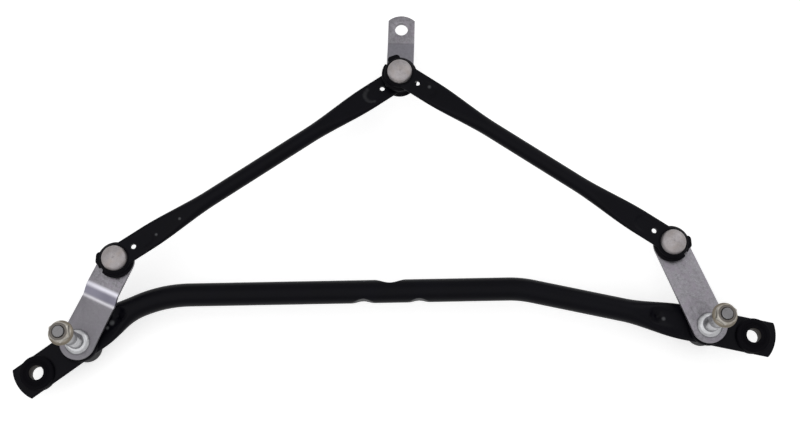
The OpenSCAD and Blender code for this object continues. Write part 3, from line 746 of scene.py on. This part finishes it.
class LINKAGE_OT_tubes(bpy.types.Operator):
    """Draws the frame tube and the two connecting rods with their flattened ends"""
    bl_idname = "linkage.tubes"
    bl_label = "Frame tube and rods"

    def execute(self, context):
        sizes, colours = settings(context)
        self.frame_tube(sizes, colours)
        self.rod("left", LEFT_BALL, PIN_LOW, sizes, colours)
        self.rod("right", RIGHT_BALL, PIN_HIGH, sizes, colours)
        return {"FINISHED"}

    def frame_tube(self, sizes, colours):
        half = sizes.press_width / MM / 2
        left = leg_places(LEFT_HOLE, LEFT_LEG_DEG, LEFT_LEG, RUN_DEG - LEFT_LEG_DEG, LEFT_BEND_R,
                          LEFT_FLAT, LEFT_TAPER, half)
        right = leg_places(RIGHT_HOLE, RIGHT_LEG_DEG, RIGHT_LEG, RUN_DEG + 180 - RIGHT_LEG_DEG, RIGHT_BEND_R,
                           RIGHT_FLAT, RIGHT_TAPER, half)
        for place in right:
            place["heading"] -= 180
        tube = drawn_tube("tube_frame", left + run_places() + right[::-1], sizes.tube_sides)
        inward = at(TIP_R - TIP_REACH, 0)
        for hole, spindle, heading in ((LEFT_HOLE, LEFT_SPINDLE, LEFT_LEG_DEG),
                                       (RIGHT_HOLE, RIGHT_SPINDLE, RIGHT_LEG_DEG)):
            combine(tube, tip_tool(TIP_R, FLAT_T, at(*hole, 0, heading) @ inward), "DIFFERENCE")
            combine(tube, cylinder(GROMMET_HOLE / 2, 3 * FLAT_T, at(*hole)), "DIFFERENCE")
            combine(tube, cylinder(NECK_D / 2, 3 * FLAT_T, at(*spindle)), "DIFFERENCE")
        smooth(tube, 38)
        dress(tube, "frame", "black_paint", colours, "frame_tube")

    def rod(self, side, start, end, sizes, colours):
        length = (end - start).length
        places = rod_places(length, sizes.rod_press_width / MM / 2)
        rod = drawn_tube("tube_" + side, places, sizes.tube_sides)
        for degrees, distance in ((0, 0.0), (180, length)):
            turn = at(distance, 0, 0, degrees)
            combine(rod, tip_tool(ROD_FLAT_W / 2, ROD_FLAT_T, turn), "DIFFERENCE")
            combine(rod, cylinder(ROD_EYE / 2, 3 * ROD_FLAT_T, turn), "DIFFERENCE")
            combine(rod, cylinder(TOOL_HOLE / 2, 3 * ROD_FLAT_T, turn @ at(TOOL_HOLE_X, 0), 32), "DIFFERENCE")
        put(rod, along(start, end), 38, side + "_rod", "black_paint", colours, "rod_" + side)


class LINKAGE_OT_plates(bpy.types.Operator):
    """Bends and cuts the plated levers and the crank"""
    bl_idname = "linkage.plates"
    bl_label = "Levers and crank"

    def execute(self, context):
        sizes, colours = settings(context)
        lean = math.asin((LEVER_R - LEVER_BALL_R) / LEVER_L)
        plan = (self.arc(LEVER_L, LEVER_BALL_R, lean - math.pi / 2, math.pi / 2 - lean)
                + self.arc(0.0, LEVER_R, math.pi / 2 - lean, 1.5 * math.pi + lean))
        holes = ((0.0, SPINDLE_R), (LEVER_L, STUD_HOLE / 2))
        for (side, spindle, degrees), step, slot in zip(SIDES, (STEP, None), ("bent_plate_painted_light", "zinc_plate")):
            line = self.line(LEVER_TOP - LEVER_T / 2, LEVER_L, step)
            lever = self.plate("plate_lever_" + side, line, LEVER_T, plan, holes, at(*spindle, 0, degrees), sizes)
            dress(lever, side + "_lever", "zinc_plate", colours, "lever_" + side)
            # The left lever's finish has painted shade, a painted reflection and painted highlights
            lever.data.materials[0] = finish_of(slot, colours)
        corner = math.asin(CRANK_W / 2 / CRANK_TIP_R)
        plan = (self.arc(CRANK_L + CRANK_END - CRANK_TIP_R, CRANK_TIP_R, -corner, corner)
                + self.arc(0.0, CRANK_W / 2, math.pi / 2, 1.5 * math.pi))
        holes = ((0.0, STUD_HOLE / 2), (CRANK_L, SHAFT_HOLE / 2))
        line = self.line(CRANK_TOP - CRANK_T / 2, CRANK_L, CRANK_STEP)
        crank = self.plate("plate_crank", line, CRANK_T, plan, holes, at(*PIN_LOW.xy, 0, CRANK_DEG), sizes)
        dress(crank, "crank", "zinc_plate", colours, "crank")
        # The crank's finish has painted shade on its slope and at its upper bend
        crank.data.materials[0] = finish_of("stepped_plate", colours)
        return {"FINISHED"}

    def arc(self, x, r, start, end, steps=40):
        """Points of a plan's round about a place on the plate's axis."""
        angles = [start + (end - start) * i / steps for i in range(steps + 1)]
        return [(x + r * math.cos(a), r * math.sin(a), PLAN_LOW) for a in angles]

    def line(self, base, length, step):
        """Points (x, z, slope) half way through a plate along +X."""
        points = [(-BLANK / 2, base, 0.0)]
        if step:
            swing, r = math.radians(step["degrees"]), math.copysign(step["radius"], step["degrees"])
            x = step["start"] + 2 * r * math.sin(swing) + step["slope"] * math.cos(swing)
            top = base + 2 * r * (1 - math.cos(swing)) + step["slope"] * math.sin(swing)
            turns = [swing * i / 10 for i in range(11)]
            points += [(step["start"] + r * math.sin(a), base + r * (1 - math.cos(a)), a) for a in turns]
            points += [(x - r * math.sin(a), top - r * (1 - math.cos(a)), a) for a in reversed(turns)]
            base = top
        return points + [(length + BLANK / 2, base, 0.0)]

    def plate(self, name, line, thickness, plan, holes, matrix, sizes):
        """A bent strip cut to its plan, with round holes and eased edges."""
        low, high = [], []
        for x, z, slope in line:
            off = Vector((-math.sin(slope), 0.0, math.cos(slope))) * thickness / 2
            middle = Vector((x, -BLANK / 2, z))
            low.append(middle - off)
            high.append(middle + off)
        plate = prism(name, low + high[::-1], (0, BLANK, 0))
        combine(plate, prism("plan", plan, (0, 0, BLANK)), "INTERSECT")
        for x, r in holes:
            combine(plate, cylinder(r, BLANK, at(x, 0)), "DIFFERENCE")
        tidy_mesh(plate)
        round_edges(plate, sizes.edge_round, 2, 50.0)
        settle(plate, matrix)
        smooth(plate, 30)
        return plate


class LINKAGE_OT_spindles(bpy.types.Operator):
    """Turns the spindles with a knurled arm seat and a threaded tip"""
    bl_idname = "linkage.spindles"
    bl_label = "Spindles"

    def execute(self, context):
        sizes, colours = settings(context)
        pitch = sizes.thread_pitch / MM
        profile = [
            (0, SPINDLE_BOTTOM), (4.7, SPINDLE_BOTTOM), (5.1, SPINDLE_BOTTOM + 0.2), (SPINDLE_R, SPINDLE_BOTTOM + 0.7),
            (SPINDLE_R, RING_Z), (4.9, RING_Z), (4.9, RING_Z + 1.2), (SPINDLE_R, RING_Z + 1.2), (SPINDLE_R, LEVER_TOP),
            (9.3, LEVER_TOP), (9.25, LEVER_TOP + 0.5), (9.0, LEVER_TOP + 1.1), (8.5, LEVER_TOP + 1.8),
            (7.9, LEVER_TOP + 2.4), (7.2, LEVER_TOP + 2.9), (6.5, LEVER_TOP + 3.15), (6.0, LEVER_TOP + 3.2),
            (5.7, LEVER_TOP + 3.35), (SPINDLE_R, LEVER_TOP + 3.8), (SPINDLE_R, 27.8), (5.3, 28.2), (5.45, 28.6),
            (5.45, SEAT_LOW), (4.55, SEAT_HIGH), (4.2, SEAT_HIGH + 0.2), (3.25, SEAT_HIGH + 0.5),
            (3.25, SPINDLE_TOP - 1.5), (3.8, SPINDLE_TOP - 1.2), (3.8, SPINDLE_TOP - 0.4), (3.5, SPINDLE_TOP - 0.05),
            (3.35, SPINDLE_TOP), (3.1, SPINDLE_TOP), (0, SPINDLE_TOP)]
        for side, place, degrees in SIDES:
            spindle = turned("turned_spindle_" + side, profile, FINE_STEPS, open_ends=True)
            for vertex in spindle.data.vertices:
                x, y, z = vertex.co / MM
                if SEAT_LOW - 0.2 < z < SEAT_HIGH + 0.1 and math.hypot(x, y) > 4.3:
                    if round(math.atan2(y, x) / (2 * math.pi) * FINE_STEPS) % 2:
                        vertex.co.x *= KNURL_SHARE
                        vertex.co.y *= KNURL_SHARE
            smooth(spindle, 30)
            thread = self.thread(pitch, SEAT_HIGH + 0.6, SPINDLE_TOP - 1.3)
            hold(spindle)
            thread.select_set(True)
            bpy.ops.object.join()
            settle(spindle, at(*place, 0, degrees))
            dress(spindle, side + "_lever", "turned_steel", colours, "spindle_" + side)
        return {"FINISHED"}

    def thread(self, pitch, low, high):
        """One ridge wound up the tip."""
        section = ((3.1, 0), (3.85, 0.42), (3.85, 0.55), (3.1, 0.97))
        points = [(radius * MM, 0, (low + turns * pitch) * MM) for radius, turns in section]
        ridge = outline("ridge", points, "NOTHING")
        screw = ridge.modifiers.new("wind", "SCREW")
        screw.axis = "Z"
        screw.screw_offset = pitch * MM
        screw.iterations = int((high - low) / pitch) - 1
        screw.steps = 40
        screw.render_steps = 40
        screw.use_merge_vertices = False
        apply(ridge, screw)
        edit_all(ridge)
        bpy.ops.mesh.fill_holes(sides=4)
        bpy.ops.mesh.normals_make_consistent(inside=False)
        bpy.ops.object.mode_set(mode="OBJECT")
        smooth(ridge, 30)
        return ridge


class LINKAGE_OT_arm_nuts(bpy.types.Operator):
    """Cuts the hexagon nuts with their flanges, chamfers and countersunk bores"""
    bl_idname = "linkage.arm_nuts"
    bl_label = "Arm nuts"

    def execute(self, context):
        colours = context.scene.linkage_colours
        corner = NUT_AF / 2 / math.cos(math.pi / 6)
        face, reach = NUT_AF / 2 - 1.0, corner + 0.6
        drop = (reach - face) * math.tan(math.pi / 6)
        middle = (NUT_Z0 + NUT_Z1) / 2
        for side, place, degrees in SIDES:
            release()
            bpy.ops.mesh.primitive_cylinder_add(vertices=6, radius=corner * MM, depth=(NUT_Z1 - NUT_Z0) * MM)
            nut = bpy.context.object
            nut.name = "hexagon_nut_" + side
            settle(nut, at(0, 0, middle))
            limit = turned("limit", [
                (0, NUT_Z0 + 0.7), (reach, NUT_Z0 + 0.7), (reach, NUT_Z1 - drop), (face, NUT_Z1), (0, NUT_Z1)],
                FINE_STEPS, open_ends=True)
            combine(nut, limit, "INTERSECT")
            flange = turned("flange", [
                (0, NUT_Z0), (8.3, NUT_Z0), (8.6, NUT_Z0 + 0.2), (8.7, NUT_Z0 + 0.5), (8.65, NUT_Z0 + 1.2),
                (8.3, NUT_Z0 + 1.6), (7.1, NUT_Z0 + 2.3), (6.2, NUT_Z0 + 2.9), (0, NUT_Z0 + 2.9)],
                FINE_STEPS, open_ends=True)
            combine(nut, flange, "UNION")
            bore = turned("bore", [
                (0, NUT_Z0 - 1), (5.6, NUT_Z0 - 1), (3.95, NUT_Z0 + 0.65), (3.95, NUT_Z1 - 0.65), (5.6, NUT_Z1 + 1),
                (0, NUT_Z1 + 1)], 64, open_ends=True)
            combine(nut, bore, "DIFFERENCE")
            tidy_mesh(nut)
            round_edges(nut, NUT_ROUND * MM, 2, 25.0)
            put(nut, at(*place, 0, degrees), 25, side + "_lever", "yellow_zinc", colours, "arm_nut_" + side)
        return {"FINISHED"}


class LINKAGE_OT_ball_studs(bpy.types.Operator):
    """Turns the riveted ball studs and the crank pin with its two balls"""
    bl_idname = "linkage.ball_studs"
    bl_label = "Ball studs and crank pin"

    def execute(self, context):
        sizes, colours = settings(context)
        for side, ball in (("left", LEFT_BALL), ("right", RIGHT_BALL)):
            profile = self.foot(LEVER_T) + self.ball(0.0, True)
            stud = turned("turned_stud_" + side, profile, sizes.turn_steps, open_ends=True)
            put(stud, at(*ball), 30, side + "_lever", "turned_steel", colours, "ball_stud_" + side)
        pitch = PIN_HIGH_Z - PIN_LOW_Z
        profile = self.foot(CRANK_T) + self.ball(0.0, False) + self.ball(pitch, True)
        pin = turned("turned_crank_pin", profile, sizes.turn_steps, open_ends=True)
        put(pin, at(*PIN_LOW), 30, "crank", "turned_steel", colours, "crank_pin")
        return {"FINISHED"}

    def foot(self, plate):
        """Rivet head, shank and collar under a ball whose centre is at height 0."""
        top = -STUD_UP
        low = top - plate
        return [(0, low - 1.8), (3.6, low - 1.75), (4.8, low - 1.4), (5.6, low - 0.8), (6.0, low - 0.3), (6.0, low),
                (STUD_HOLE / 2, low), (STUD_HOLE / 2, top), (5.75, top), (5.75, top + 0.6), (5.45, top + 0.9),
                (3.8, top + 0.9), (NECK_R, top + 1.2)]

    def ball(self, height, last):
        """Half a round from the neck up, ending at the neck again or at the top."""
        start = -math.acos(NECK_R / BALL_R)
        end = math.pi / 2 if last else -start
        angles = [start + (end - start) * i / 20 for i in range(21)]
        points = [(BALL_R * math.cos(a), height + BALL_R * math.sin(a)) for a in angles]
        if last:
            points[-1] = (0, height + BALL_R)
        return points


class LINKAGE_OT_sockets(bpy.types.Operator):
    """Rounds the moulded ball sockets and gives them their notched flanges"""
    bl_idname = "linkage.sockets"
    bl_label = "Ball sockets"

    def execute(self, context):
        sizes, colours = settings(context)
        low, high = -SOCKET_DOWN, -SOCKET_DOWN + FLANGE_H
        rim = [(SOCKET_R - 0.8, low), (FLANGE_R - 0.5, low), (FLANGE_R - 0.15, low + 0.15), (FLANGE_R, low + 0.5),
               (FLANGE_R, high - 0.6), (FLANGE_R - 0.2, high - 0.2), (FLANGE_R - 0.6, high), (SOCKET_R - 0.8, high)]
        for key, drawn in LUG_DRAWN.items():
            body, place = rod_end(key)
            node = "socket_" + key
            socket = copy_of(node, "moulded_" + node)
            back = place.inverted()
            for vertex in socket.data.vertices:
                q = back @ vertex.co
                reach = math.hypot(q.x, q.y)
                if reach > (SOCKET_R + 0.1) * MM:
                    share = (SOCKET_R * MM + drawn * (reach - SOCKET_R * MM)) / reach
                    vertex.co = place @ Vector((q.x * share, q.y * share, q.z))
            round_edges(socket, sizes.moulded_round, 3, 40.0)
            flange = turned("flange", rim, sizes.turn_steps)
            settle(flange, place)
            if key in NOTCHES:
                notch = place @ at(0, 0, 0, NOTCHES[key]) @ at(FLANGE_R, 0)
                combine(flange, cylinder(NOTCH_R, 12, notch, 32), "DIFFERENCE")
            combine(socket, flange, "UNION")
            tidy_mesh(socket)
            smooth(socket, 35)
            dress(socket, body, "black_nylon", colours, node)
        return {"FINISHED"}


class LINKAGE_OT_caps(bpy.types.Operator):
    """Presses the steel caps with a rounded shoulder and a dimple"""
    bl_idname = "linkage.caps"
    bl_label = "Caps"

    def execute(self, context):
        sizes, colours = settings(context)
        r = sizes.cap_shoulder / MM
        outer = [(CAP_R, SOCKET_UP)]
        outer += [(CAP_R - r + r * math.cos(a), CAP_TOP - 4.4 + 1.5 * r * math.sin(a))
                  for a in (math.pi / 2 * i / 12 for i in range(11))]
        outer += [(6.3, CAP_TOP - 0.95), (4.8, CAP_TOP - 0.48), (3.2, CAP_TOP - 0.18), (1.7, CAP_TOP - 0.03),
                  (0.8, CAP_TOP), (0.6, CAP_TOP - 0.12), (0.4, CAP_TOP - 0.34), (0, CAP_TOP - 0.42)]
        inner = [(0, CAP_TOP - 0.65), (4.5, CAP_TOP - 1.3), (7.0, CAP_TOP - 2.7),
                 (CAP_R - 0.6, CAP_TOP - 4.3), (CAP_R - 0.6, SOCKET_UP)]
        for key in ("left_outer", "right_outer", "right_inner"):
            body, place = rod_end(key)
            cap = turned("pressed_cap_" + key, inner + outer, sizes.turn_steps, open_ends=True)
            put(cap, place, 40, body, "pressed_cap", colours, "cap_" + key)
        return {"FINISHED"}


class LINKAGE_OT_mounts(bpy.types.Operator):
    """Forms the rubber grommets and their steel sleeves"""
    bl_idname = "linkage.mounts"
    bl_label = "Mounting bushes"

    def execute(self, context):
        sizes, colours = settings(context)
        half = [(6.4, 4.6), (5.3, 4.65), (5.2, 4.95), (5.4, 5.2), (6.1, 5.25), (7.1, 4.95), (7.5, 4.55), (7.9, 4.2),
                (8.6, 4.15), (9.0, 4.45), (9.4, 4.8), (10.6, 4.9), (11.7, 4.75), (12.2, 4.4), (12.5, 3.7), (12.5, 2.3),
                (12.35, 1.9), (12.1, PLATE_TOP), (GROMMET_HOLE / 2, PLATE_TOP)]
        rubber = half + [(radius, -height) for radius, height in reversed(half)]
        rim = [(5.2, 4.3), (5.4, 4.6), (6.4, 4.6)]
        steel = rim + [(radius, -height) for radius, height in reversed(rim)]
        for side, hole in (("left", LEFT_HOLE), ("right", RIGHT_HOLE)):
            grommet = turned("rubber_grommet_" + side, rubber, sizes.turn_steps)
            put(grommet, at(*hole), 50, "frame", "rubber", colours, "grommet_" + side)
            sleeve = turned("steel_sleeve_" + side, steel, sizes.turn_steps)
            put(sleeve, at(*hole), 35, "frame", "zinc_steel", colours, "sleeve_" + side)
        return {"FINISHED"}


class LINKAGE_OT_pivots(bpy.types.Operator):
    """Turns the bearing housings, collars, bushes, washers and retaining rings"""
    bl_idname = "linkage.pivots"
    bl_label = "Pivot bearings"

    def execute(self, context):
        sizes, colours = settings(context)
        low = HOUSING_BOTTOM
        pieces = {
            "housing": ("black_cast", [
                (7.0, low), (9.6, low), (10.3, low + 0.3), (10.8, low + 0.8), (11.0, low + 1.4), (11.0, -5.4),
                (10.6, -5.0), (10.6, -4.2), (11.0, -3.8), (11.0, -PLATE_TOP), (NECK_D / 2, -PLATE_TOP),
                (NECK_D / 2, COLLAR_TOP), (7.0, COLLAR_TOP)]),
            "collar": ("black_cast", [
                (NECK_D / 2, PLATE_TOP), (14.0, PLATE_TOP), (14.0, COLLAR_TOP - 1.5), (13.8, COLLAR_TOP - 0.8),
                (13.3, COLLAR_TOP - 0.3), (12.7, COLLAR_TOP), (NECK_D / 2, COLLAR_TOP)]),
            "bush": ("bronze", [
                (5.55, low), (7.0, low), (7.0, COLLAR_TOP), (8.3, COLLAR_TOP), (8.4, COLLAR_TOP + 0.1),
                (8.4, BUSH_TOP - 0.15), (8.25, BUSH_TOP), (5.8, BUSH_TOP), (5.55, BUSH_TOP - 0.25)]),
            "washer": ("zinc_steel", [
                (5.8, WASHER_Z), (9.35, WASHER_Z), (9.5, WASHER_Z + 0.15), (9.5, low - 0.15), (9.35, low), (5.8, low)]),
        }
        for side, spindle, _ in SIDES:
            for kind, (slot, profile) in pieces.items():
                piece = turned("turned_" + kind + "_" + side, profile, sizes.turn_steps)
                put(piece, at(*spindle), 30, "frame", slot, colours, kind + "_" + side)
            ring = copy_of("retainer_" + side, "spring_retainer_" + side)
            round_edges(ring, RING_ROUND * MM, 2, 40.0)
            smooth(ring, 30)
            dress(ring, side + "_lever", "zinc_steel", colours, "retainer_" + side)
        return {"FINISHED"}


class LINKAGE_OT_stage(bpy.types.Operator):
    """Lays the floor and sets the lamps, the sky and the camera"""
    bl_idname = "linkage.stage"
    bl_label = "Stage"

    def execute(self, context):
        colours = context.scene.linkage_colours
        self.floor(colours)
        self.sky(context.scene)
        for lamp in LAMPS:
            self.lamp(*lamp)
        self.camera(context.scene)
        context.scene.view_settings.view_transform = "Standard"
        return {"FINISHED"}

    def floor(self, colours):
        release()
        bpy.ops.mesh.primitive_plane_add(size=FLOOR_SIZE, location=(*MIDDLE.xy, CAD_BOX[0][2] - FLOOR_GAP))
        floor = bpy.context.object
        floor.name = "floor"
        material = bpy.data.materials.new("pale_floor")
        material.use_nodes = True
        tree = material.node_tree
        tree.nodes.remove(tree.nodes["Principled BSDF"])
        matt = add_node(tree, "BsdfDiffuse", {"Color": (*colours.floor, 1)}).outputs["BSDF"]
        share = add_node(tree, "Math", {0: self.direct(tree), 1: FLOOR_GLOW}, operation="MULTIPLY").outputs["Value"]
        glow = add_node(tree, "Emission", {"Color": (1, 1, 1, 1), "Strength": share}).outputs["Emission"]
        both = add_node(tree, "AddShader", {0: matt, 1: glow}).outputs["Shader"]
        tree.links.new(both, tree.nodes["Material Output"].inputs["Surface"])
        floor.data.materials.append(material)

    def direct(self, tree):
        """1 for what the camera sees, straight, in a mirror or through glass."""
        seen = add_node(tree, "LightPath", {}).outputs
        total = seen["Is Camera Ray"]
        for kind in ("Is Glossy Ray", "Is Transmission Ray"):
            total = add_node(tree, "Math", {0: total, 1: seen[kind]}, operation="MAXIMUM").outputs["Value"]
        return total

    def sky(self, scene):
        world = bpy.data.worlds.new("studio")
        scene.world = world
        world.use_nodes = True
        tree = world.node_tree
        light = tree.nodes["Background"]
        light.inputs["Color"].default_value = (1, 1, 1, 1)
        level = add_node(tree, "MapRange", {"Value": self.direct(tree), "To Min": SKY_LEVEL, "To Max": 1.0})
        tree.links.new(level.outputs["Result"], light.inputs["Strength"])

    def lamp(self, name, place, size, power):
        release()
        bpy.ops.object.light_add(type="AREA", location=place)
        lamp = bpy.context.object
        lamp.name = name
        lamp.data.shape = "DISK"
        lamp.data.size = size
        lamp.data.energy = power
        lamp.rotation_euler = (MIDDLE - Vector(place)).to_track_quat("-Z", "Y").to_euler()

    def camera(self, scene):
        release()
        bpy.ops.object.camera_add()
        camera = bpy.context.object
        camera.name = "photo_view"
        ahead = (LOOK_AT - EYE).normalized()
        right = ahead.cross(Vector((0, 1, 0))).normalized()
        up = right.cross(ahead)
        c, s = math.cos(EYE_ROLL), math.sin(EYE_ROLL)
        right, up = c * right + s * up, c * up - s * right
        turn = Matrix((right, up, -ahead)).transposed().to_4x4()
        camera.matrix_world = Matrix.Translation(EYE * MM) @ turn
        camera.data.sensor_fit = "HORIZONTAL"
        camera.data.sensor_width = SENSOR_W
        camera.data.lens = SENSOR_W * PHOTO_FOCAL / PHOTO_W
        camera.data.clip_start = 0.01
        scene.camera = camera


STEPS = (LINKAGE_OT_tubes, LINKAGE_OT_plates, LINKAGE_OT_spindles, LINKAGE_OT_arm_nuts, LINKAGE_OT_ball_studs,
         LINKAGE_OT_sockets, LINKAGE_OT_caps, LINKAGE_OT_mounts, LINKAGE_OT_pivots, LINKAGE_OT_stage)


class LINKAGE_PT_sidebar(bpy.types.Panel):
    """The pieces of the linkage, in the order in which they are made"""
    bl_idname = "LINKAGE_PT_sidebar"
    bl_label = "Wiper linkage"
    bl_space_type = "VIEW_3D"
    bl_region_type = "UI"
    bl_category = "Linkage"

    def draw(self, context):
        for step in STEPS:
            self.layout.operator(step.bl_idname)
        for group in settings(context):
            box = self.layout.box()
            for key in group.__annotations__:
                box.prop(group, key)


CLASSES = (LinkageSizes, LinkageColours, *STEPS, LINKAGE_PT_sidebar)


def register():
    for each in CLASSES:
        bpy.utils.register_class(each)
    bpy.types.Scene.linkage_sizes = bpy.props.PointerProperty(type=LinkageSizes)
    bpy.types.Scene.linkage_colours = bpy.props.PointerProperty(type=LinkageColours)


def unregister():
    del bpy.types.Scene.linkage_colours
    del bpy.types.Scene.linkage_sizes
    for each in reversed(CLASSES):
        bpy.utils.unregister_class(each)


def main():
    register()
    release()
    bpy.ops.linkage.tubes()
    bpy.ops.linkage.plates()
    bpy.ops.linkage.spindles()
    bpy.ops.linkage.arm_nuts()
    bpy.ops.linkage.ball_studs()
    bpy.ops.linkage.sockets()
    bpy.ops.linkage.caps()
    bpy.ops.linkage.mounts()
    bpy.ops.linkage.pivots()
    bpy.ops.linkage.stage()
    release()


if __name__ == "__main__":
    main()
